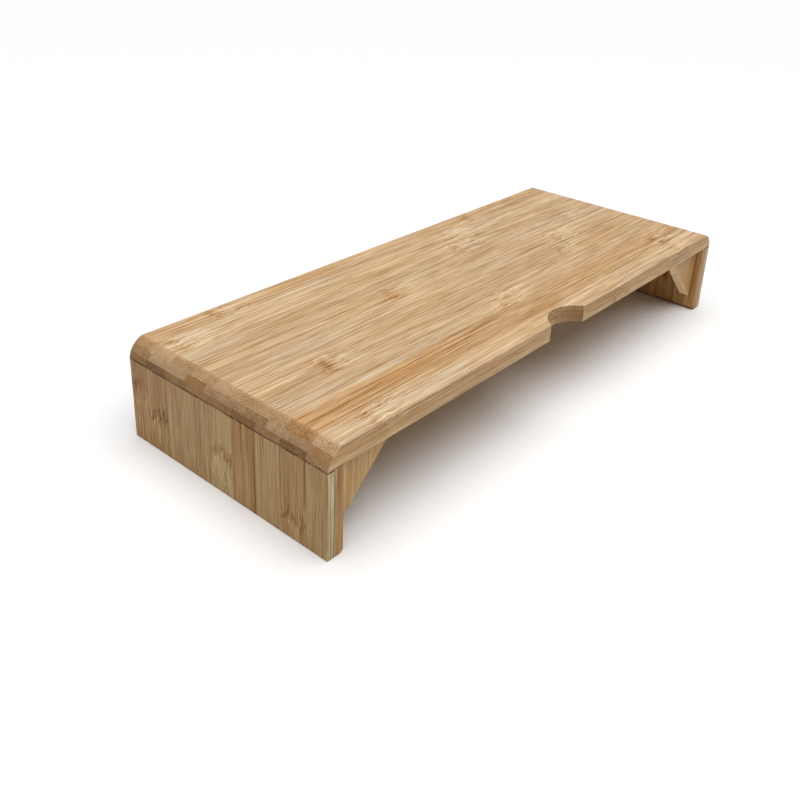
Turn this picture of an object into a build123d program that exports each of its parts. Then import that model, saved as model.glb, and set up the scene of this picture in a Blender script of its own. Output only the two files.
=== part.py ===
from build123d import *
import os

# A monitor riser stand made of laminated bamboo. A three-ply board lies on two three-ply legs,
# and a triangular brace stiffens each of the four inside corners. Every ply is glued up from
# narrow strips, and glue and hidden wooden dowels hold the board, legs and braces together.
#
# Sizes are in millimetres. X runs along the board (left is -X), Y runs from the front edge, which
# has the cable notch (-Y), to the rear edge (+Y), and Z is up. The origin is on the floor, at the
# centre of the footprint. Strips are numbered from the front edge to the rear edge.

# Overall size
LENGTH = 495.0
DEPTH = 190.0
HEIGHT = 75.0

# Board plies, from the top down, and legs' plies, from the outside in
FACE_PLY = 4.0
CORE_PLY = 4.5
BASE_PLY = 5.0
LEG_OUTER_PLY = 5.0
LEG_CORE_PLY = 3.5
LEG_INNER_PLY = 4.5

# Each ply is glued up from strips across the depth, and its two outermost strips are trimmed.
# A core ply has more and narrower strips, so that few of its glue lines meet the others.
STRIP_COUNT = 9
EDGE_STRIP_WIDTH = 18.0
CORE_STRIP_COUNT = 10
CORE_FRONT_STRIP_WIDTH = 15.0
CORE_REAR_STRIP_WIDTH = 20.0

# The board's ends are rounded over, and its front edge has a shallow round notch for cables
END_RUN = 11.0  # how far in from the end the rounding meets the top
END_RADIUS = 16.0
NOTCH_RADIUS = 26.5
NOTCH_DEPTH = 13.0

FOOT_ROUND = 4.0  # radius along the inner lower edge of each leg

# Corner braces: right-angled plates, equal along the board and down the leg
BRACE_SIDE = 48.0
BRACE_THICK = 9.0
BRACE_SETBACK = 6.0  # from the front or rear edge to the brace's outer face
BRACE_TIP = 0.8  # flat left at each pointed end

# Dowels between board and leg stand upright in the middle of the leg's thickness
LEG_DOWEL_COUNT = 4
LEG_DOWEL_DIAMETER = 6.0
LEG_DOWEL_IN_BOARD = 6.5
LEG_DOWEL_IN_LEG = 16.0
LEG_DOWEL_MARGIN = 10.0  # from a brace's inner face to the nearest dowel's axis

# Each brace has one dowel up into the board and one sideways into the leg
BRACE_DOWEL_DIAMETER = 5.0
BRACE_DOWEL_IN_PANEL = 6.0
BRACE_DOWEL_IN_BRACE = 8.0
BRACE_DOWEL_OFFSET = 17.0  # from the inside corner to the dowel's axis

DOWEL_CHAMFER = 0.6
DOWEL_GLUE_GAP = 0.05  # radial room for glue round a dowel
HOLE_END_GAP = 0.5  # room left past each end of a dowel

# Sizes and places that follow
BOARD_THICK = FACE_PLY + CORE_PLY + BASE_PLY
LEG_THICK = LEG_OUTER_PLY + LEG_CORE_PLY + LEG_INNER_PLY
LEG_HEIGHT = HEIGHT - BOARD_THICK
HALF_LENGTH = LENGTH / 2
HALF_DEPTH = DEPTH / 2
INNER_FACE_X = HALF_LENGTH - LEG_THICK
LEG_DOWEL_X = HALF_LENGTH - LEG_THICK / 2
BRACE_CENTRE_Y = HALF_DEPTH - BRACE_SETBACK - BRACE_THICK / 2
LEG_DOWEL_LAST_Y = BRACE_CENTRE_Y - BRACE_THICK / 2 - LEG_DOWEL_MARGIN
SIDES = {"left": -1, "right": 1}
ENDS = {"front": -1, "rear": 1}


def block(x_range, y_range, z_range):
    """Box between two values along each axis, given in either order."""
    ranges = (x_range, y_range, z_range)
    sizes = [abs(high - low) for low, high in ranges]
    middle = [(high + low) / 2 for low, high in ranges]
    return Pos(*middle) * Box(*sizes)


def slab(outline, depth):
    """Plate with an outline drawn in X and Z, centred on Y = 0."""
    return extrude(make_face(Plane.XZ * outline), depth / 2, both=True)


def strip_edges(count, front_width, rear_width):
    """Y of the glue lines of one ply, with both outer edges."""
    width = (DEPTH - front_width - rear_width) / (count - 2)
    first_line = -HALF_DEPTH + front_width
    return [-HALF_DEPTH] + [first_line + i * width for i in range(count - 1)] + [HALF_DEPTH]


FACE_EDGES = strip_edges(STRIP_COUNT, EDGE_STRIP_WIDTH, EDGE_STRIP_WIDTH)
CORE_EDGES = strip_edges(CORE_STRIP_COUNT, CORE_FRONT_STRIP_WIDTH, CORE_REAR_STRIP_WIDTH)


def rip(blank, x_range, z_range, edges=FACE_EDGES):
    """Cut one ply out of a blank and rip it into its strips, front to rear."""
    return [blank & block(x_range, y_range, z_range) for y_range in zip(edges, edges[1:])]


def pin(diameter, start, end):
    """Round bar of one diameter from one point to another."""
    axis = Vector(*end) - Vector(*start)
    plane = Plane(origin=start, z_dir=axis)
    return plane * Cylinder(diameter / 2, axis.length, align=(Align.CENTER, Align.CENTER, Align.MIN))


def dowel(diameter, start, end):
    """Wooden dowel with chamfered ends."""
    bar = pin(diameter, start, end)
    return chamfer(bar.edges().filter_by(GeomType.CIRCLE), DOWEL_CHAMFER)


def dowel_hole(diameter, start, end):
    """Drilled hole for a dowel, with room for glue round it and past its ends."""
    extra = (Vector(*end) - Vector(*start)).normalized() * HOLE_END_GAP
    return pin(diameter + 2 * DOWEL_GLUE_GAP, Vector(*start) - extra, Vector(*end) + extra)


def leg_dowel_lines(side):
    """Lower and upper end of each dowel between one leg and the board."""
    x = side * LEG_DOWEL_X
    pitch = 2 * LEG_DOWEL_LAST_Y / (LEG_DOWEL_COUNT - 1)
    places = [-LEG_DOWEL_LAST_Y + i * pitch for i in range(LEG_DOWEL_COUNT)]
    low = LEG_HEIGHT - LEG_DOWEL_IN_LEG
    high = LEG_HEIGHT + LEG_DOWEL_IN_BOARD
    return [((x, y, low), (x, y, high)) for y in places]


def brace_dowel_lines(side, end):
    """Both ends of a brace's two dowels: the one into the board, then the one into the leg."""
    x = side * (INNER_FACE_X - BRACE_DOWEL_OFFSET)
    y = end * BRACE_CENTRE_Y
    z = LEG_HEIGHT - BRACE_DOWEL_OFFSET
    into_board = (
        (x, y, LEG_HEIGHT - BRACE_DOWEL_IN_BRACE),
        (x, y, LEG_HEIGHT + BRACE_DOWEL_IN_PANEL),
    )
    into_leg = (
        (side * (INNER_FACE_X - BRACE_DOWEL_IN_BRACE), y, z),
        (side * (INNER_FACE_X + BRACE_DOWEL_IN_PANEL), y, z),
    )
    return [into_board, into_leg]


def side_brace_dowel_lines(side):
    """Ends of all the brace dowels at one leg."""
    return [line for end in ENDS.values() for line in brace_dowel_lines(side, end)]


def side_holes(side):
    """Every dowel hole at one leg, in the board, the leg and the braces."""
    holes = [dowel_hole(LEG_DOWEL_DIAMETER, *line) for line in leg_dowel_lines(side)]
    holes += [dowel_hole(BRACE_DOWEL_DIAMETER, *line) for line in side_brace_dowel_lines(side)]
    return holes


def board_blank(holes):
    """Whole board before it is split into plies: rounded ends, cable notch and dowel holes."""
    top_x = HALF_LENGTH - END_RUN
    outline = [
        Line((-HALF_LENGTH, LEG_HEIGHT), (HALF_LENGTH, LEG_HEIGHT)),
        RadiusArc((HALF_LENGTH, LEG_HEIGHT), (top_x, HEIGHT), -END_RADIUS),
        Line((top_x, HEIGHT), (-top_x, HEIGHT)),
        RadiusArc((-top_x, HEIGHT), (-HALF_LENGTH, LEG_HEIGHT), -END_RADIUS),
    ]
    notch_y = -HALF_DEPTH + NOTCH_DEPTH - NOTCH_RADIUS
    notch = Pos(0, notch_y, HEIGHT - BOARD_THICK / 2) * Cylinder(NOTCH_RADIUS, 2 * BOARD_THICK)
    return slab(Curve() + outline, DEPTH) - [notch] - holes


def leg_blank(side, holes):
    """Whole leg before it is split into plies, with its rounded inner foot and dowel holes."""
    outer_x = side * HALF_LENGTH
    inner_x = side * INNER_FACE_X
    toe_x = inner_x + side * FOOT_ROUND
    diagonal = FOOT_ROUND * 0.5**0.5
    bulge = (toe_x - side * diagonal, FOOT_ROUND - diagonal)
    outline = [
        Line((outer_x, LEG_HEIGHT), (outer_x, 0)),
        Line((outer_x, 0), (toe_x, 0)),
        ThreePointArc((toe_x, 0), bulge, (inner_x, FOOT_ROUND)),
        Line((inner_x, FOOT_ROUND), (inner_x, LEG_HEIGHT)),
        Line((inner_x, LEG_HEIGHT), (outer_x, LEG_HEIGHT)),
    ]
    return slab(Curve() + outline, DEPTH) - holes


def brace(side, end, holes):
    """Triangular corner plate, with its upright side on the leg and its level side on the board."""
    corner_x = side * INNER_FACE_X
    far_x = side * (INNER_FACE_X - BRACE_SIDE)
    low_z = LEG_HEIGHT - BRACE_SIDE
    outline = Polyline(
        (corner_x, LEG_HEIGHT),
        (far_x, LEG_HEIGHT),
        (far_x, LEG_HEIGHT - BRACE_TIP),
        (corner_x - side * BRACE_TIP, low_z),
        (corner_x, low_z),
        close=True,
    )
    return Pos(0, end * BRACE_CENTRE_Y, 0) * slab(outline, BRACE_THICK) - holes


def board_nodes(holes):
    """Strips of the board's three plies, each strip a node of its own."""
    blank = board_blank(holes)
    full_x = (-HALF_LENGTH, HALF_LENGTH)
    core_low = LEG_HEIGHT + BASE_PLY
    core_high = core_low + CORE_PLY
    plies = {
        "face": ((core_high, HEIGHT), FACE_EDGES),
        "core": ((core_low, core_high), CORE_EDGES),
        "base": ((LEG_HEIGHT, core_low), FACE_EDGES),
    }
    nodes = {}
    for ply, (z_range, edges) in plies.items():
        for number, strip in enumerate(rip(blank, full_x, z_range, edges), start=1):
            nodes[f"board_{ply}_strip_{number}"] = strip
    return nodes


def leg_nodes(name, side, holes):
    """Strips of one leg: its outer strips one by one, then its core and inner plies as groups."""
    blank = leg_blank(side, holes)
    core_x = HALF_LENGTH - LEG_OUTER_PLY
    lining_x = core_x - LEG_CORE_PLY
    full_z = (0, LEG_HEIGHT)
    outer = rip(blank, (side * core_x, side * HALF_LENGTH), full_z)
    core = rip(blank, (side * lining_x, side * core_x), full_z, CORE_EDGES)
    inner = rip(blank, (side * INNER_FACE_X, side * lining_x), full_z)
    nodes = {f"{name}_leg_outer_strip_{i}": strip for i, strip in enumerate(outer, start=1)}
    nodes[f"{name}_leg_core_strips"] = Compound(core)
    nodes[f"{name}_leg_inner_strips"] = Compound(inner)
    return nodes


def joint_nodes(name, side, holes):
    """The two braces at one leg, and the dowels of that leg and its braces."""
    nodes = {}
    for end_name, end in ENDS.items():
        nodes[f"{end_name}_{name}_brace"] = brace(side, end, holes)
    leg_dowels = [dowel(LEG_DOWEL_DIAMETER, *line) for line in leg_dowel_lines(side)]
    brace_dowels = [dowel(BRACE_DOWEL_DIAMETER, *line) for line in side_brace_dowel_lines(side)]
    nodes[f"{name}_leg_dowels"] = Compound(leg_dowels)
    nodes[f"{name}_brace_dowels"] = Compound(brace_dowels)
    return nodes


def stand_nodes():
    """Every node of the stand by name."""
    holes = {name: side_holes(side) for name, side in SIDES.items()}
    nodes = board_nodes(holes["left"] + holes["right"])
    for name, side in SIDES.items():
        nodes |= leg_nodes(name, side, holes[name])
        nodes |= joint_nodes(name, side, holes[name])
    return nodes


os.makedirs("parts", exist_ok=True)
for node_name, shape in stand_nodes().items():
    export_step(shape, f"parts/{node_name}.step")
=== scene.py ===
import math

import bmesh
import bpy
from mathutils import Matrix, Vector


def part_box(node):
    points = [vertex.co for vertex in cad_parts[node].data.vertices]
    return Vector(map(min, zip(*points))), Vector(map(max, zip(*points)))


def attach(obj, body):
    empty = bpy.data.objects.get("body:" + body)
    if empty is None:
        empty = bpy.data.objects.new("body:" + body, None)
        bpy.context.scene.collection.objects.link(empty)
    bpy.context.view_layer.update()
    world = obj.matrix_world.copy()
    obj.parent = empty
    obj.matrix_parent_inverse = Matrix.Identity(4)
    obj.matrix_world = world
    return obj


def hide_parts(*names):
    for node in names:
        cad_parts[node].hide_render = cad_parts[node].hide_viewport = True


# A monitor riser stand of laminated bamboo: a three-ply board on two three-ply legs, with a
# triangular brace in each inside corner. Everything is in metres, in the frame of the CAD model.
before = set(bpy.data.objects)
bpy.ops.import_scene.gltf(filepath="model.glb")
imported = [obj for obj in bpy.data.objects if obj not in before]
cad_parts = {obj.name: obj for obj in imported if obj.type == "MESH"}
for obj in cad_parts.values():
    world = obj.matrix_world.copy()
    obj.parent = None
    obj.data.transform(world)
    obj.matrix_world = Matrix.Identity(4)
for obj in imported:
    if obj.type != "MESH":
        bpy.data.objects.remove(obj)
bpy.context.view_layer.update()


# ---- The board -------------------------------------------------------------------------------
# The board is a blank of bamboo strips glued side by side into plies and three plies deep. Its
# grain runs along X. The ends are rounded over, and a round cable notch is milled in the front.

board_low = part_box("board_base_strip_1")[0].z
board_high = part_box("board_face_strip_1")[1].z
board_half_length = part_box("board_base_strip_1")[1].x
half_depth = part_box("board_base_strip_9")[1].y
face_ply_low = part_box("board_face_strip_1")[0].z
core_ply_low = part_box("board_core_strip_1")[0].z
end_run = 0.011
end_radius = 0.016
notch_radius = 0.0265
notch_depth = 0.013
edge_ease = 0.0005
strip_count = 9
core_strip_count = 10


def finished(name, mesh):
    """Link a mesh as an object at the origin."""
    made = bpy.data.objects.new(name, mesh)
    bpy.context.scene.collection.objects.link(made)
    return made


def prism(name, outline, low, high):
    """Extrude a closed outline of X and Z from low to high along Y, with its faces outward."""
    shape = bmesh.new()
    rings = []
    for place in (low, high):
        rings.append([shape.verts.new((x, place, z)) for x, z in outline])
    count = len(outline)
    shape.faces.new(rings[0])
    shape.faces.new(list(reversed(rings[1])))
    for i in range(count):
        j = (i + 1) % count
        shape.faces.new((rings[0][i], rings[1][i], rings[1][j], rings[0][j]))
    bmesh.ops.recalc_face_normals(shape, faces=shape.faces)
    mesh = bpy.data.meshes.new(name)
    shape.to_mesh(mesh)
    shape.free()
    return finished(name, mesh)


def arc(start, end, radius, steps):
    """Points of an arc from start to end that bulges up and outward, without its start."""
    a, b = Vector(start), Vector(end)
    chord = b - a
    middle = (a + b) / 2
    lift = math.sqrt(radius ** 2 - (chord.length / 2) ** 2)
    inward = Vector((chord.y, -chord.x)).normalized()
    centre = middle + inward * lift
    first = math.atan2(a.y - centre.y, a.x - centre.x)
    last = math.atan2(b.y - centre.y, b.x - centre.x)
    turn = (last - first + math.pi) % (2 * math.pi) - math.pi
    return [
        (centre.x + radius * math.cos(first + turn * i / steps),
         centre.y + radius * math.sin(first + turn * i / steps))
        for i in range(1, steps + 1)
    ]


def eased(thing, width):
    """Round the sharp edges a little, as sanding does, and leave the shallow crease."""
    bevel = thing.modifiers.new("sanded_edges", "BEVEL")
    bevel.width = width
    bevel.segments = 3
    bevel.limit_method = "ANGLE"
    bevel.angle_limit = math.radians(35)
    bevel.harden_normals = False
    apply_all(thing)
    shape = bmesh.new()
    shape.from_mesh(thing.data)
    bmesh.ops.dissolve_degenerate(shape, dist=0.000002, edges=shape.edges)
    shape.to_mesh(thing.data)
    shape.free()


def apply_all(thing):
    """Replace the mesh by the evaluated one and drop the modifiers."""
    graph = bpy.context.evaluated_depsgraph_get()
    mesh = bpy.data.meshes.new_from_object(thing.evaluated_get(graph))
    thing.modifiers.clear()
    thing.data = mesh


def drop(thing):
    """Delete a helper object that is not part of the stand."""
    mesh = thing.data
    bpy.data.objects.remove(thing)
    bpy.data.meshes.remove(mesh)


left_end = arc((-board_half_length, board_low), (end_run - board_half_length, board_high),
               end_radius, 12)
right_end = [(-x, z) for x, z in reversed(left_end)]
board_outline = [(-board_half_length, board_low)] + left_end + right_end
board_outline.append((board_half_length, board_low))
board_blank = prism("board_blank", board_outline, -half_depth, half_depth)

cutter_mesh = bpy.data.meshes.new("notch_cutter")
cutter_shape = bmesh.new()
bmesh.ops.create_cone(cutter_shape, cap_ends=True, segments=160, radius1=notch_radius,
                      radius2=notch_radius, depth=0.06)
notch_centre_y = notch_depth - half_depth - notch_radius
bmesh.ops.translate(cutter_shape, verts=cutter_shape.verts,
                    vec=(0, notch_centre_y, (board_low + board_high) / 2))
cutter_shape.to_mesh(cutter_mesh)
cutter_shape.free()
notch_cutter = finished("notch_cutter", cutter_mesh)
milling = board_blank.modifiers.new("milled_notch", "BOOLEAN")
milling.operation = "DIFFERENCE"
milling.solver = "EXACT"
milling.object = notch_cutter
apply_all(board_blank)
drop(notch_cutter)
eased(board_blank, edge_ease)


def socket_id(tree, name):
    """Identifier of a named input of a node tree."""
    for item in tree.interface.items_tree:
        if item.item_type == "SOCKET" and item.in_out == "INPUT" and item.name == name:
            return item.identifier
    raise KeyError(name)


def strips_tree():
    """Cuts one ply out of a blank and parts it into strips at its glue lines."""
    tree = bpy.data.node_groups.new("ply_of_strips", "GeometryNodeTree")
    face = tree.interface
    face.new_socket("Geometry", in_out="INPUT", socket_type="NodeSocketGeometry")
    for name in ("Ply Centre", "Ply Size"):
        face.new_socket(name, in_out="INPUT", socket_type="NodeSocketVector")
    face.new_socket("Strips", in_out="INPUT", socket_type="NodeSocketInt")
    for name in ("First Line", "Strip Width", "Line Width"):
        face.new_socket(name, in_out="INPUT", socket_type="NodeSocketFloat")
    face.new_socket("Material", in_out="INPUT", socket_type="NodeSocketMaterial")
    face.new_socket("Geometry", in_out="OUTPUT", socket_type="NodeSocketGeometry")
    add, join = tree.nodes.new, tree.links.new
    given = add("NodeGroupInput")
    result = add("NodeGroupOutput")

    ply = add("GeometryNodeMeshCube")
    join(given.outputs["Ply Size"], ply.inputs["Size"])
    placed = add("GeometryNodeTransform")
    join(ply.outputs["Mesh"], placed.inputs["Geometry"])
    join(given.outputs["Ply Centre"], placed.inputs["Translation"])
    keep = add("GeometryNodeMeshBoolean")
    keep.operation = "INTERSECT"
    keep.solver = "EXACT"
    join(given.outputs["Geometry"], keep.inputs["Mesh 2"])
    join(placed.outputs["Geometry"], keep.inputs["Mesh 2"])

    lines = add("ShaderNodeMath")
    lines.operation = "SUBTRACT"
    join(given.outputs["Strips"], lines.inputs[0])
    lines.inputs[1].default_value = 1
    start = add("ShaderNodeCombineXYZ")
    join(given.outputs["First Line"], start.inputs["Y"])
    step = add("ShaderNodeCombineXYZ")
    join(given.outputs["Strip Width"], step.inputs["Y"])
    places = add("GeometryNodeMeshLine")
    places.mode = "OFFSET"
    join(lines.outputs[0], places.inputs["Count"])
    join(start.outputs[0], places.inputs["Start Location"])
    join(step.outputs[0], places.inputs["Offset"])

    thin = add("ShaderNodeCombineXYZ")
    thin.inputs["X"].default_value = 2
    thin.inputs["Z"].default_value = 2
    join(given.outputs["Line Width"], thin.inputs["Y"])
    slab = add("GeometryNodeMeshCube")
    join(thin.outputs[0], slab.inputs["Size"])
    copies = add("GeometryNodeInstanceOnPoints")
    join(places.outputs["Mesh"], copies.inputs["Points"])
    join(slab.outputs["Mesh"], copies.inputs["Instance"])
    solid = add("GeometryNodeRealizeInstances")
    join(copies.outputs["Instances"], solid.inputs["Geometry"])
    part = add("GeometryNodeMeshBoolean")
    part.operation = "DIFFERENCE"
    part.solver = "EXACT"
    join(keep.outputs["Mesh"], part.inputs["Mesh 1"])
    join(solid.outputs["Geometry"], part.inputs["Mesh 2"])

    real = add("GeometryNodeRealizeInstances")
    join(part.outputs["Mesh"], real.inputs["Geometry"])
    painted = add("GeometryNodeSetMaterial")
    join(real.outputs["Geometry"], painted.inputs["Geometry"])
    join(given.outputs["Material"], painted.inputs["Material"])
    join(painted.outputs["Geometry"], result.inputs["Geometry"])
    return tree


ply_of_strips = strips_tree()
glue_line_width = 0.00004


class Graph:
    """Short calls for wiring maths in a shader tree."""

    def __init__(self, tree):
        self.tree = tree

    def node(self, kind, **settings):
        made = self.tree.nodes.new(kind)
        for name, value in settings.items():
            setattr(made, name, value)
        return made

    def put(self, socket, value):
        if isinstance(value, bpy.types.NodeSocket):
            self.tree.links.new(value, socket)
        else:
            socket.default_value = value

    def maths(self, operation, first, second=0.0, third=0.0):
        made = self.node("ShaderNodeMath", operation=operation)
        self.put(made.inputs[0], first)
        self.put(made.inputs[1], second)
        self.put(made.inputs[2], third)
        return made.outputs[0]

    def vector(self, x=0.0, y=0.0, z=0.0):
        made = self.node("ShaderNodeCombineXYZ")
        for socket, value in zip(made.inputs, (x, y, z)):
            self.put(socket, value)
        return made.outputs[0]

    def noise(self, place, detail=2.0, roughness=0.5):
        made = self.node("ShaderNodeTexNoise", noise_dimensions="3D")
        self.put(made.inputs["Vector"], place)
        made.inputs["Scale"].default_value = 1.0
        made.inputs["Detail"].default_value = detail
        made.inputs["Roughness"].default_value = roughness
        return made.outputs[0]

    def ramp(self, value, low, high, to_low=0.0, to_high=1.0):
        made = self.node("ShaderNodeMapRange", clamp=True)
        made.interpolation_type = "SMOOTHSTEP"
        self.put(made.inputs["Value"], value)
        for name, number in (("From Min", low), ("From Max", high),
                             ("To Min", to_low), ("To Max", to_high)):
            self.put(made.inputs[name], number)
        return made.outputs[0]

    def blend(self, share, first, second, kind="MIX"):
        made = self.node("ShaderNodeMix", data_type="RGBA", blend_type=kind)
        self.put(made.inputs["Factor"], share)
        self.put(made.inputs[6], first)
        self.put(made.inputs[7], second)
        return made.outputs[2]


def linear(red, green, blue):
    """Linear colour from the 0 to 255 values of a swatch."""
    def channel(value):
        value /= 255
        if value <= 0.04045:
            return value / 12.92
        return ((value + 0.055) / 1.055) ** 2.4
    return (channel(red), channel(green), channel(blue), 1.0)


def bamboo(name, axes, wood, cut, seed, contrast=1.0, lean=1.0, redden=1.0, hue_drift=1.0,
           fade=(9000.0, 9001.0), joint=None, seams=None, knot=0.34, side=0.0,
           streaks=(), plies=()):
    """Lacquered bamboo with the swatches wood on long faces and cut on cut ends.

    axes gives the letters of the along, across and through directions. lean is the side of a
    knuckle that its pale fibres lie on, redden how much redder dark wood is, and hue_drift how
    far the hue wanders. fade is where along the grain the warm strips pale. joint is the height
    of the joint of board and leg and the inner face of the leg below it, in mm; a dark line is
    painted there, partly as dark glue and partly as painted shade in the seam. seams is the first
    glue line and the pitch. knot is how dark the knuckles are, and side how much darker the faces
    toward front and back are painted, as painted shade; a negative side makes them paler and less
    orange instead. streaks lists red-brown streaks: where across, from where, to where.
    plies lists the heights of the glued planes that show in the cable notch.
    """
    material = bpy.data.materials.new(name)
    material.use_nodes = True
    tree = material.node_tree
    tree.nodes.clear()
    g = Graph(tree)
    output = g.node("ShaderNodeOutputMaterial")
    surface = g.node("ShaderNodeBsdfPrincipled")
    tree.links.new(surface.outputs[0], output.inputs["Surface"])
    surface.inputs["IOR"].default_value = 1.46
    surface.inputs["Specular IOR Level"].default_value = 0.18
    surface.inputs["Coat Weight"].default_value = 0.04
    surface.inputs["Coat Roughness"].default_value = 0.34

    place = g.node("ShaderNodeTexCoord").outputs["Object"]
    parts = g.node("ShaderNodeSeparateXYZ")
    tree.links.new(place, parts.inputs[0])
    in_mm = {letter: g.maths("MULTIPLY", parts.outputs[letter], 1000.0) for letter in "XYZ"}
    along, across, through = (in_mm[letter] for letter in axes)

    def stored(attribute):
        return g.node("ShaderNodeAttribute", attribute_name=attribute).outputs["Fac"]

    strip, tone, end_cut = stored("strip_seed"), stored("strip_tone"), stored("end_cut")
    warmth = g.maths("MULTIPLY", stored("strip_warmth"), g.ramp(along, *fade, 1.0, 0.35))
    own = g.maths("MULTIPLY_ADD", strip, 137.0, seed * 19.0)

    def grain(length, width, detail=2.0, roughness=0.5, lane=across, shift=0.0):
        """Noise whose marks are about length by width, in mm, and go right through the wood."""
        return g.noise(g.vector(
            g.maths("MULTIPLY_ADD", along, 1 / length, g.maths("ADD", own, shift)),
            g.maths("MULTIPLY", lane, 1 / width), g.maths("MULTIPLY", through, 0.8 / width),
        ), detail, roughness)

    # Knuckles, where the cane's joints were: a ragged, slightly arched patch across the strip
    arch = g.maths("MULTIPLY", g.maths("SUBTRACT", grain(400.0, 8.0, 1.0, shift=3.0), 0.5), 22.0)
    ragged = g.maths("MULTIPLY", g.maths("SUBTRACT", grain(9.0, 1.7, 1.0, shift=7.0), 0.5), 15.0)
    sway = g.maths("ADD", arch, ragged)
    heart = halo = 0.0
    for number, strength in ((1, 1.0), (2, 0.7)):
        off = g.maths("ADD", g.maths("SUBTRACT", along, stored(f"knuckle_{number}")), sway)
        core = g.ramp(g.maths("ABSOLUTE", off), 1.0, 7.5, strength, 0.0)
        tail = g.maths("MULTIPLY", off, lean)
        spread = g.maths("MULTIPLY", g.ramp(tail, -12.0, 2.0), g.ramp(tail, 10.0, 52.0, 1.0, 0.0))
        heart = g.maths("MAXIMUM", heart, core)
        halo = g.maths("MAXIMUM", halo, g.maths("MULTIPLY", spread, strength))

    # The fibres run straight, and swerve where they pass a knuckle
    swerve = g.maths("MULTIPLY", g.maths("SUBTRACT", grain(14.0, 7.0, shift=11.0), 0.5),
                     g.maths("MULTIPLY_ADD", halo, 5.0, 0.7))
    lane = g.maths("ADD", across, swerve)
    marks = (
        (grain(62.0, 0.72, 1.0, 0.6, lane), 1.30 * contrast),
        (grain(90.0, 1.7, 1.0, 0.5, lane, 17.0), 0.40 * contrast),
        (grain(230.0, 8.0, 1.0, 0.5, lane, 23.0), 0.20),
        (grain(36.0, 5.5, 2.0, 0.55, lane, 29.0), g.maths("MULTIPLY_ADD", halo, 0.35, 0.36)),
        (grain(15.0, 0.9, 1.0, 0.5, lane, 31.0), g.maths("MULTIPLY_ADD", halo, 0.45, 0.46)),
    )
    bright = 1.0
    for mark, amount in marks:
        bright = g.maths("MULTIPLY_ADD", g.maths("SUBTRACT", mark, 0.5), amount, bright)
    line = g.ramp(grain(190.0, 1.0, 1.0, 0.5, lane, 37.0), 0.63, 0.69)
    depth = g.maths("MULTIPLY_ADD", warmth, -0.12, -0.15 * contrast)
    bright = g.maths("MULTIPLY_ADD", line, depth, bright)
    bright = g.maths("MULTIPLY_ADD", tone, -0.15, bright)

    streak = 0.0
    for middle, start, stop in streaks:
        near = g.ramp(g.maths("ABSOLUTE", g.maths("SUBTRACT", lane, middle)), 0.3, 1.3, 1.0, 0.0)
        extent = g.maths("MULTIPLY", g.ramp(along, start - 8.0, start),
                         g.ramp(along, stop - 25.0, stop, 1.0, 0.0))
        streak = g.maths("MAXIMUM", streak, g.maths("MULTIPLY", near, extent))
    bright = g.maths("MULTIPLY_ADD", streak, -0.22, bright)

    # The glue lines between strips show as thin dark lines, some of them fainter than others
    if seams is not None:
        first, pitch = seams
        counted = g.maths("DIVIDE", g.maths("SUBTRACT", across, first * 1000), pitch * 1000)
        away = g.maths("MULTIPLY", g.maths("PINGPONG", counted, 0.5), pitch * 1000)
        which = g.maths("ROUND", counted)
        firm = g.noise(g.vector(g.maths("MULTIPLY", which, 0.73), g.maths("MULTIPLY", along, 0.004),
                                seed), 1.0)
        seam = g.maths("MULTIPLY", g.ramp(away, 0.12, 0.55, 1.0, 0.0), g.ramp(firm, 0.40, 0.60))
        bright = g.maths("MULTIPLY_ADD", seam, -0.20, bright)

    # Round a knuckle: pale dashes on one side, and dark strokes in its heart
    dash = g.ramp(grain(9.0, 1.0, 2.0, 0.6, lane, 41.0), 0.48, 0.58)
    paling = g.maths("MULTIPLY_ADD", stored("front_back_painted_shade_and_tint"), -0.2, 0.25)
    bright = g.maths("MULTIPLY_ADD", g.maths("MULTIPLY", dash, halo), paling, bright)
    stroke = g.ramp(grain(4.5, 0.8, 1.0, 0.6, lane, 43.0), 0.44, 0.58)
    stain = g.maths("MULTIPLY", heart, g.maths("MULTIPLY_ADD", stroke, 0.75, 0.25))
    bright = g.maths("MULTIPLY_ADD", stain, -knot, bright)
    # Painted shade: faces toward the front and back are darkened by side; a negative side makes
    # them paler instead
    bright = g.maths("MULTIPLY", bright, g.maths("MULTIPLY_ADD", stored("front_back_painted_shade_and_tint"), -side, 1.0))
    bright = g.maths("MAXIMUM", bright, 0.3)

    # Darker wood is also redder, and the hue wanders between olive and orange
    hue = g.maths("SUBTRACT", grain(95.0, 11.0, 2.0, 0.5, lane, 47.0), 0.5)
    hue = g.maths("MULTIPLY", hue, hue_drift)
    hue = g.maths("MULTIPLY_ADD", stain, 0.30, hue)
    hue = g.maths("MULTIPLY_ADD", warmth, 0.34, hue)
    hue = g.maths("MULTIPLY_ADD", streak, 0.40, hue)
    hue = g.maths("MULTIPLY_ADD", stored("front_back_painted_shade_and_tint"), min(0.0, side) * 1.6, hue)
    tint = g.node("ShaderNodeCombineColor")
    for socket, power, turn in zip(tint.inputs, (1.0, 1.45 * redden, 2.0 * redden),
                                   (0.16, -0.03, -0.34)):
        channel = g.maths("MULTIPLY", g.maths("POWER", bright, power),
                          g.maths("MULTIPLY_ADD", hue, turn, 1.0))
        tree.links.new(channel, socket)
    long_face = g.blend(1.0, wood, tint.outputs[0], "MULTIPLY")

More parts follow.
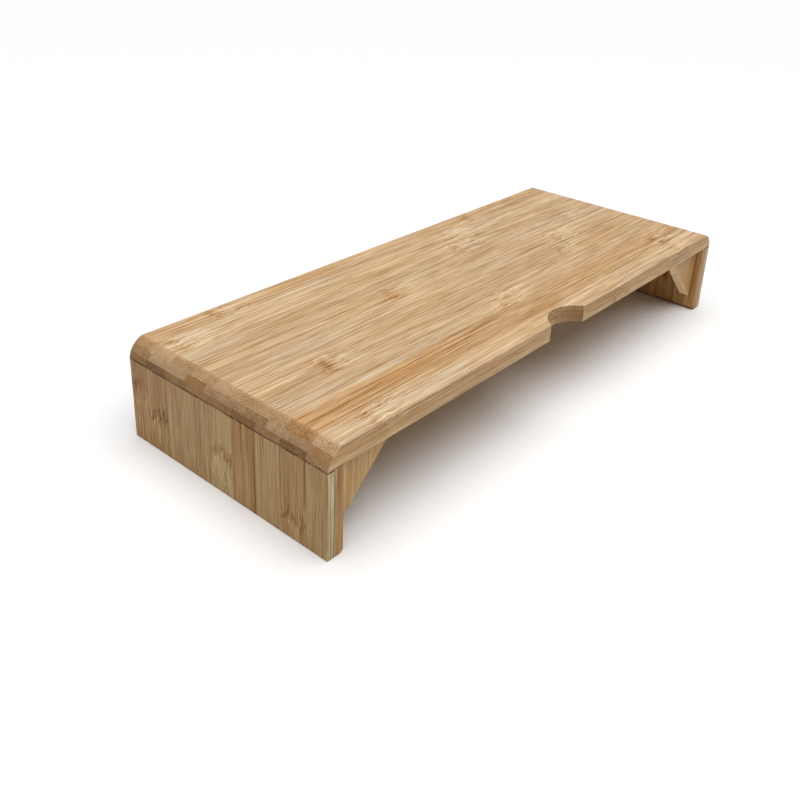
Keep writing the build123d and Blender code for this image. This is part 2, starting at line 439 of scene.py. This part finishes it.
    # A cut end shows the fibre bundles as specks and drinks more lacquer, so it is darker
    bundles = g.node("ShaderNodeTexVoronoi", feature="F1", voronoi_dimensions="3D")
    g.put(bundles.inputs["Vector"], g.vector(
        g.maths("MULTIPLY_ADD", along, 0.05, own), g.maths("MULTIPLY", across, 0.95),
        g.maths("MULTIPLY", through, 0.95)))
    bundles.inputs["Scale"].default_value = 1.0
    bundle = g.ramp(bundles.outputs["Distance"], 0.10, 0.50, 1.0, 0.0)
    speck = g.noise(g.vector(g.maths("MULTIPLY", along, 0.5), g.maths("MULTIPLY", across, 1.1),
                             g.maths("MULTIPLY", through, 1.1)), 2.0, 0.55)
    cloud = g.noise(g.vector(own, g.maths("MULTIPLY", across, 0.12),
                             g.maths("MULTIPLY", through, 0.25)), 1.0)
    end_bright = g.maths("MULTIPLY_ADD", bundle, -0.30, 1.09)
    end_bright = g.maths("MULTIPLY_ADD", g.maths("SUBTRACT", speck, 0.5), 0.95, end_bright)
    end_bright = g.maths("MULTIPLY_ADD", g.maths("SUBTRACT", cloud, 0.5), 0.40, end_bright)
    end_bright = g.maths("MULTIPLY_ADD", tone, -0.27, end_bright)
    end_bright = g.maths("MAXIMUM", end_bright, 0.3)
    end_tint = g.node("ShaderNodeCombineColor")
    for socket, power, turn in zip(end_tint.inputs, (1.0, 1.35, 1.75), (0.04, -0.07, -0.26)):
        channel = g.maths("MULTIPLY", g.maths("POWER", end_bright, power),
                          g.maths("MULTIPLY_ADD", warmth, turn, 1.0))
        tree.links.new(channel, socket)
    cut_face = g.blend(1.0, cut, end_tint.outputs[0], "MULTIPLY")
    colour = g.blend(end_cut, long_face, cut_face)

    # The milled wall of the cable notch is painted darker, partly as painted shade in the recess
    # and partly as its own darker colour, with a thin line where two plies are glued
    if plies:
        glued = 0.0
        for level in plies:
            off = g.maths("ABSOLUTE", g.maths("SUBTRACT", in_mm["Z"], level))
            glued = g.maths("MAXIMUM", glued, g.ramp(off, 0.15, 0.65, 1.0, 0.0))
        shade = g.maths("MULTIPLY", g.maths("MULTIPLY_ADD", glued, 0.24, 0.27),
                        stored("notch_wall"))
        colour = g.blend(shade, colour, linear(98, 57, 28))

    # Sanding leaves the eased edges a little paler and drier in places
    worn = g.maths("MULTIPLY", stored("eased_edge"),
                   g.ramp(grain(12.0, 3.0, 2.0, 0.6, shift=53.0), 0.45, 0.60))
    colour = g.blend(g.maths("MULTIPLY", worn, 0.22), colour, linear(226, 198, 158))
    # A dark line is painted along the joint of board and leg on the upright faces: partly dark
    # glue, partly painted shade in the seam between the parts
    if joint is not None:
        uneven = g.noise(g.vector(g.maths("MULTIPLY", in_mm["X"], 0.2),
                                  g.maths("MULTIPLY", in_mm["Y"], 0.12), seed), 2.0)
        joint_z, leg_face = joint
        above = g.maths("ABSOLUTE", g.maths("SUBTRACT", in_mm["Z"], joint_z))
        glue_and_joint_shade = g.maths("MULTIPLY", g.ramp(above, 0.25, 1.1, 0.9, 0.0),
                         g.ramp(uneven, 0.35, 0.62, 0.35, 1.0))
        over_leg = g.maths("GREATER_THAN", g.maths("ABSOLUTE", in_mm["X"]), leg_face)
        glue_and_joint_shade = g.maths("MULTIPLY", glue_and_joint_shade, g.maths("MULTIPLY", over_leg, stored("upright")))
        colour = g.blend(glue_and_joint_shade, colour, linear(74, 44, 24))
    tree.links.new(colour, surface.inputs["Base Color"])

    rough = g.maths("MULTIPLY_ADD", g.maths("SUBTRACT", marks[3][0], 0.5), 0.22, 0.46)
    rough = g.maths("MULTIPLY_ADD", end_cut, 0.12, rough)
    rough = g.maths("MULTIPLY_ADD", worn, 0.10, rough)
    tree.links.new(rough, surface.inputs["Roughness"])

    bump = g.node("ShaderNodeBump")
    bump.inputs["Strength"].default_value = 0.25
    bump.inputs["Distance"].default_value = 0.00012
    height = g.maths("MULTIPLY_ADD", line, -0.35, marks[0][0])
    height = g.maths("MULTIPLY_ADD", stain, -0.6, height)
    height = g.maths("MULTIPLY_ADD", g.maths("MULTIPLY", bundle, end_cut), -0.5, height)
    tree.links.new(height, bump.inputs["Height"])
    tree.links.new(bump.outputs[0], surface.inputs["Normal"])
    return material


nowhere = 9000.0  # a knuckle this far away, in mm, is never seen


def mark_strips(piece, edges, grain, tones, warmths, knuckles, seed):
    """Store on each face its strip's seed, tone, warmth and knuckles, and how it was cut."""
    mesh = piece.data
    axis = "XYZ".index(grain)
    names = ("strip_seed", "strip_tone", "strip_warmth", "knuckle_1", "knuckle_2", "end_cut",
             "front_back_painted_shade_and_tint", "upright", "notch_wall", "eased_edge")
    values = {name: [] for name in names}
    for polygon in mesh.polygons:
        y = polygon.center.y
        index = sum(1 for edge in edges if y > edge)
        spots = list(knuckles.get(index + 1, ())) + [nowhere, nowhere]
        values["strip_seed"].append((index + 1) * 0.61 + seed)
        values["strip_tone"].append(tones[index % len(tones)])
        values["strip_warmth"].append(warmths.get(index + 1, 0.0))
        values["knuckle_1"].append(spots[0])
        values["knuckle_2"].append(spots[1])
        facing = abs(polygon.normal[axis])
        # Round the milled notch the grain turns from long to cut gradually
        in_notch = grain == "X" and abs(polygon.center.x) < notch_radius
        start, span = (0.10, 0.75) if in_notch else (0.25, 0.15)
        values["end_cut"].append(min(1.0, max(0.0, (facing - start) / span)))
        # Faces toward the front and back, which side darkens as painted shade
        values["front_back_painted_shade_and_tint"].append(1.0 if abs(polygon.normal.y) > 0.7 else 0.0)
        values["upright"].append(1.0 if abs(polygon.normal.z) < 0.8 else 0.0)
        behind_front = 0.0003 < y + half_depth < notch_depth + 0.0003
        values["notch_wall"].append(
            1.0 if in_notch and behind_front and abs(polygon.normal.z) < 0.3 else 0.0)
        narrowest = min(
            (mesh.vertices[a].co - mesh.vertices[b].co).length for a, b in polygon.edge_keys
        )
        aligned = max(abs(part) for part in polygon.normal) > 0.999
        values["eased_edge"].append(0.0 if aligned or narrowest > edge_ease else 1.0)
    for name in names:
        mesh.attributes.new(name, "FLOAT", "FACE").data.foreach_set("value", values[name])
    mesh.shade_smooth()
    mesh.set_sharp_from_angle(angle=math.radians(12))


def make_ply(name, blank, low, high, edges, material):
    """One ply of strips from a blank, between two corners, as a plain mesh."""
    piece = finished(name, blank.data.copy())
    modifier = piece.modifiers.new("strips", "NODES")
    modifier.node_group = ply_of_strips
    low, high = Vector(low), Vector(high)
    settings = {
        "Ply Centre": (low + high) / 2, "Ply Size": high - low, "Strips": len(edges) + 1,
        "First Line": edges[0], "Strip Width": edges[1] - edges[0],
        "Line Width": glue_line_width, "Material": material,
    }
    for label, value in settings.items():
        modifier[socket_id(ply_of_strips, label)] = value
    apply_all(piece)
    # The cut leaves an empty material slot ahead of the bamboo one
    mesh = piece.data
    mesh.materials.clear()
    mesh.materials.append(material)
    mesh.polygons.foreach_set("material_index", [0] * len(mesh.polygons))
    return piece


def lines_of(prefix, count):
    """Y of the glue lines between the strips of a ply."""
    return [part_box(f"{prefix}_{i}")[1].y for i in range(1, count)]


face_lines = lines_of("board_face_strip", strip_count)
core_lines = lines_of("board_core_strip", core_strip_count)
outside = 0.02

inner_leg_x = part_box("right_leg_inner_strips")[0].x
# Height of the board-leg joint and the leg's inner face, for the dark line painted there as glue
# and painted shade
leg_joint_glue_and_shade = (board_low * 1000, inner_leg_x * 1000)
ply_planes = (face_ply_low * 1000, core_ply_low * 1000)
wide_seams = (face_lines[0], face_lines[1] - face_lines[0])
narrow_seams = (core_lines[0], core_lines[1] - core_lines[0])
# side paints each board ply's front and back faces darker, as painted shade
top_bamboo = bamboo("bamboo_top_lacquered", "XYZ", linear(197, 165, 127), linear(166, 132, 95),
                    1, 1.0, fade=(40.0, 260.0), seams=wide_seams, side=0.25, knot=0.26,
                    streaks=((-65.0, -240.0, -67.0), (-60.5, -190.0, -30.0)),
                    plies=ply_planes)
core_bamboo = bamboo("bamboo_core_lacquered", "XYZ", linear(181, 148, 103), linear(152, 120, 86),
                     2, 0.8, seams=narrow_seams, side=0.03, plies=ply_planes)
base_bamboo = bamboo("bamboo_underside_lacquered", "XYZ", linear(183, 150, 108),
                     linear(139, 104, 68), 3, 0.8, joint=leg_joint_glue_and_shade, seams=wide_seams, side=0.09,
                     plies=ply_planes)

board_plies = {
    "board_face_ply": {
        "low": face_ply_low, "high": board_high + outside, "lines": face_lines,
        "material": top_bamboo, "slot": "bamboo_top", "strips": "board_face_strip",
        "tones": (-0.3, 0.75, 0.05, 0.2, -0.15, 0.1, 0.15, -0.4, 0.3),
        "warmth": {1: 0.1, 2: 0.75, 9: 0.3, 4: 0.15},
        "knuckles": {1: (-205, 183), 2: (192,), 3: (-16,), 4: (-182, 104), 5: (129,),
                     6: (-66, 181), 7: (46,), 8: (-231, 64), 9: (-182, 111)},
    },
    "board_core_ply": {
        "low": core_ply_low, "high": face_ply_low, "lines": core_lines,
        "material": core_bamboo, "slot": "bamboo_core", "strips": "board_core_strip",
        "tones": (0.2, 0.0, -0.5, 0.6, 0.2, -0.1, 0.5, -0.8, -0.8, 0.2),
        "warmth": {1: 0.8, 7: 0.8, 10: 0.3},
        "knuckles": {3: (120,), 6: (-90,)},
    },
    "board_base_ply": {
        "low": board_low - outside, "high": core_ply_low, "lines": face_lines,
        "material": base_bamboo, "slot": "bamboo_underside", "strips": "board_base_strip",
        "tones": (-0.7, 0.9, -0.1, 1.0, 0.1, -0.1, 0.1, 1.0, 0.1),
        "warmth": {3: 0.3, 6: 0.2, 9: 0.2},
        "knuckles": {1: (70,), 2: (-140,), 4: (150,), 5: (-60,), 7: (10,), 8: (-190, 200)},
    },
}
for number, (name, ply) in enumerate(board_plies.items(), start=1):
    piece = make_ply(name, board_blank,
                     (-board_half_length - outside, -half_depth - outside, ply["low"]),
                     (board_half_length + outside, half_depth + outside, ply["high"]),
                     ply["lines"], ply["material"])
    mark_strips(piece, ply["lines"], "X", ply["tones"], ply["warmth"], ply["knuckles"], number)
    count = len(ply["lines"]) + 1
    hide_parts(*[f"{ply['strips']}_{i}" for i in range(1, count + 1)])
    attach(piece, "root")
drop(board_blank)


# ---- The legs --------------------------------------------------------------------------------
# Each leg is an upright panel of three bamboo plies with the grain running up. The outer ply
# shows on the ends of the stand, and the inner lower edge is rounded over. Glue and dowels hold it.

leg_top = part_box("left_leg_outer_strip_1")[1].z
foot_round = 0.004
core_leg_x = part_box("right_leg_core_strips")[1].x
lining_leg_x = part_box("right_leg_core_strips")[0].x

# The outer ply's negative side makes its front and back edges paler and less orange; the lining's
# side paints them darker, as painted shade
outer_bamboo = bamboo("bamboo_leg_lacquered", "ZYX", linear(163, 129, 83), linear(145, 112, 72),
                      4, 0.95, -1.0, 1.1, 0.5, joint=leg_joint_glue_and_shade, seams=wide_seams, knot=0.45,
                      side=-0.32, streaks=((-32.0, 0.0, 90.0), (-76.2, 32.0, 90.0)))
lining_bamboo = bamboo("bamboo_lining_lacquered", "ZYX", linear(176, 133, 84),
                       linear(145, 110, 72), 5, 0.95, -1.0, 1.1, 0.5, seams=wide_seams,
                       knot=0.45, side=0.10)
leg_core_bamboo = bamboo("bamboo_leg_core_lacquered", "ZYX", linear(163, 130, 86),
                         linear(145, 112, 76), 6, 0.9, -1.0, 1.1, 0.5, seams=narrow_seams)

for side_name, side in (("left", -1), ("right", 1)):
    outline = [(side * board_half_length, 0.0), (side * board_half_length, leg_top),
               (side * inner_leg_x, leg_top), (side * inner_leg_x, foot_round)]
    for i in range(1, 9):
        angle = math.pi / 2 * i / 8
        outline.append((side * (inner_leg_x + foot_round * (1 - math.cos(angle))),
                        foot_round * (1 - math.sin(angle))))
    blank = prism("leg_blank", outline, -half_depth, half_depth)
    eased(blank, edge_ease)
    leg_plies = {
        "outer": (core_leg_x, board_half_length + outside, face_lines, outer_bamboo,
                  "bamboo_leg", [f"{side_name}_leg_outer_strip_{i}" for i in range(1, 10)]),
        "core": (lining_leg_x, core_leg_x, core_lines, leg_core_bamboo,
                 "bamboo_core", [f"{side_name}_leg_core_strips"]),
        "inner": (inner_leg_x - outside, lining_leg_x, face_lines, lining_bamboo,
                  "bamboo_leg_lining", [f"{side_name}_leg_inner_strips"]),
    }
    for number, (ply, facts) in enumerate(leg_plies.items(), start=1):
        near, far, lines, material, slot_name, stood_for = facts
        low_x, high_x = sorted((side * near, side * far))
        piece = make_ply(f"{side_name}_leg_{ply}_ply", blank,
                         (low_x, -half_depth - outside, -outside),
                         (high_x, half_depth + outside, leg_top + outside), lines, material)
        if ply == "outer" and side < 0:
            tones = (-0.05, 0.45, -0.5, 0.7, -0.7, -0.15, -0.05, 0.75, 0.55)
            warmth = {1: -0.35, 2: 0.35, 4: 0.6, 5: -0.2, 8: 0.6, 9: 0.7}
            knuckles = {9: (45,), 8: (29,), 5: (31,), 2: (17,)}
        elif ply == "outer":
            tones = (0.2, -0.1, 0.3, 0.0, 0.35, -0.2, 0.1, 0.25, 0.0)
            warmth = {3: 0.4, 5: 0.3}
            knuckles = {1: (22,), 3: (48,), 6: (15,), 8: (38,)}
        else:
            tones = (0.1, 0.3, 0.0, 0.4, -0.1, 0.25, 0.05, 0.35, 0.1, 0.2)
            warmth = {2: 0.4, 4: 0.5, 7: 0.4}
            knuckles = {2: (30,), 5: (14,), 7: (44,)}
        mark_strips(piece, lines, "Z", tones, warmth, knuckles, 10 * number + side)
        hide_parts(*stood_for)
        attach(piece, "root")
    drop(blank)


# ---- The braces ------------------------------------------------------------------------------
# Four small triangular plates of bamboo stiffen the inside corners. Their grain runs up, and the
# sloping edge is cut across it and sanded. Each is glued and doweled to the board and to a leg.

brace_tip = 0.0008
brace_bamboo = bamboo("bamboo_brace_lacquered", "ZXY", linear(181, 145, 96),
                      linear(228, 202, 162), 7, 0.75)

for number, (end_name, side_name) in enumerate(
        (("front", "left"), ("rear", "left"), ("front", "right"), ("rear", "right")), start=1):
    node = f"{end_name}_{side_name}_brace"
    low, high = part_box(node)
    side = -1 if side_name == "left" else 1
    corner_x = low.x if side < 0 else high.x
    tip_x = high.x if side < 0 else low.x
    outline = [(corner_x, high.z), (tip_x, high.z), (tip_x, high.z - brace_tip),
               (corner_x - side * brace_tip, low.z), (corner_x, low.z)]
    piece = prism(f"{node}_plate", outline, low.y, high.y)
    eased(piece, 0.0004)
    piece.data.materials.append(brace_bamboo)
    mark_strips(piece, [], "Z", (0.1 * number - 0.2,), {1: 0.12 * number}, {}, 20 + number)
    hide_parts(node)
    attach(piece, "root")


# ---- The dowels ------------------------------------------------------------------------------
# Hidden beech dowels with chamfered ends join board, legs and braces. They stay as they are in
# the CAD model and get a plain, fine-grained wood.

dowel_wood = bamboo("dowel_beech", "ZXY", linear(206, 172, 132), linear(196, 160, 120), 8, 0.5)
for side_name in ("left", "right"):
    for kind in ("leg", "brace"):
        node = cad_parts[f"{side_name}_{kind}_dowels"]
        if not node.data.materials:
            node.data.materials.append(dowel_wood)
        for index in range(len(node.data.materials)):
            node.data.materials[index] = dowel_wood


# ---- The set ---------------------------------------------------------------------------------
# A pale plain floor that runs to the horizon, one very broad light above the stand and a little
# in front of it, a white surround, and the camera.

floor_reach = 30
floor_corners = [(floor_reach * x, floor_reach * y, 0)
                 for x, y in ((-1, -1), (1, -1), (1, 1), (-1, 1))]
floor_mesh = bpy.data.meshes.new("floor")
floor_mesh.from_pydata(floor_corners, [], [(0, 1, 2, 3)])
floor = finished("floor", floor_mesh)
floor_paint = bpy.data.materials.new("floor_paint")
floor_paint.use_nodes = True
floor_surface = floor_paint.node_tree.nodes["Principled BSDF"]
floor_surface.inputs["Base Color"].default_value = (0.89, 0.89, 0.89, 1)
floor_surface.inputs["Roughness"].default_value = 0.7
floor_mesh.materials.append(floor_paint)

# The open background looks white, and lights the stand more weakly than it looks
world = bpy.data.worlds.new("studio")
world.use_nodes = True
world_tree = world.node_tree
background = world_tree.nodes["Background"]
background.inputs["Color"].default_value = (1, 1, 1, 1)
looked_at = world_tree.nodes.new("ShaderNodeLightPath")
strength = world_tree.nodes.new("ShaderNodeMapRange")
strength.inputs["To Min"].default_value = 0.16
strength.inputs["To Max"].default_value = 1.0
world_tree.links.new(looked_at.outputs["Is Camera Ray"], strength.inputs["Value"])
world_tree.links.new(strength.outputs[0], background.inputs["Strength"])
bpy.context.scene.world = world

light_data = bpy.data.lights.new("soft_light", "SUN")
light_data.angle = math.radians(70)
light_data.energy = 3.25
light = bpy.data.objects.new("soft_light", light_data)
bpy.context.scene.collection.objects.link(light)
light_from = Vector((-0.06, -0.16, 1.0))
light.location = light_from * 2
light.rotation_euler = (-light_from).to_track_quat("-Z", "Y").to_euler()

camera_data = bpy.data.cameras.new("camera")
camera_data.sensor_width = 36
camera_data.lens = 41.62
camera_data.shift_y = -0.15
camera_data.clip_start = 0.01
camera_data.clip_end = 90
camera = bpy.data.objects.new("camera", camera_data)
bpy.context.scene.collection.objects.link(camera)
camera.location = (-0.548, -0.3972, 0.3666)
camera.rotation_euler = (math.radians(66.31), math.radians(-2.06), math.radians(-48.73))
bpy.context.scene.camera = camera
bpy.context.scene.view_settings.view_transform = "Standard"
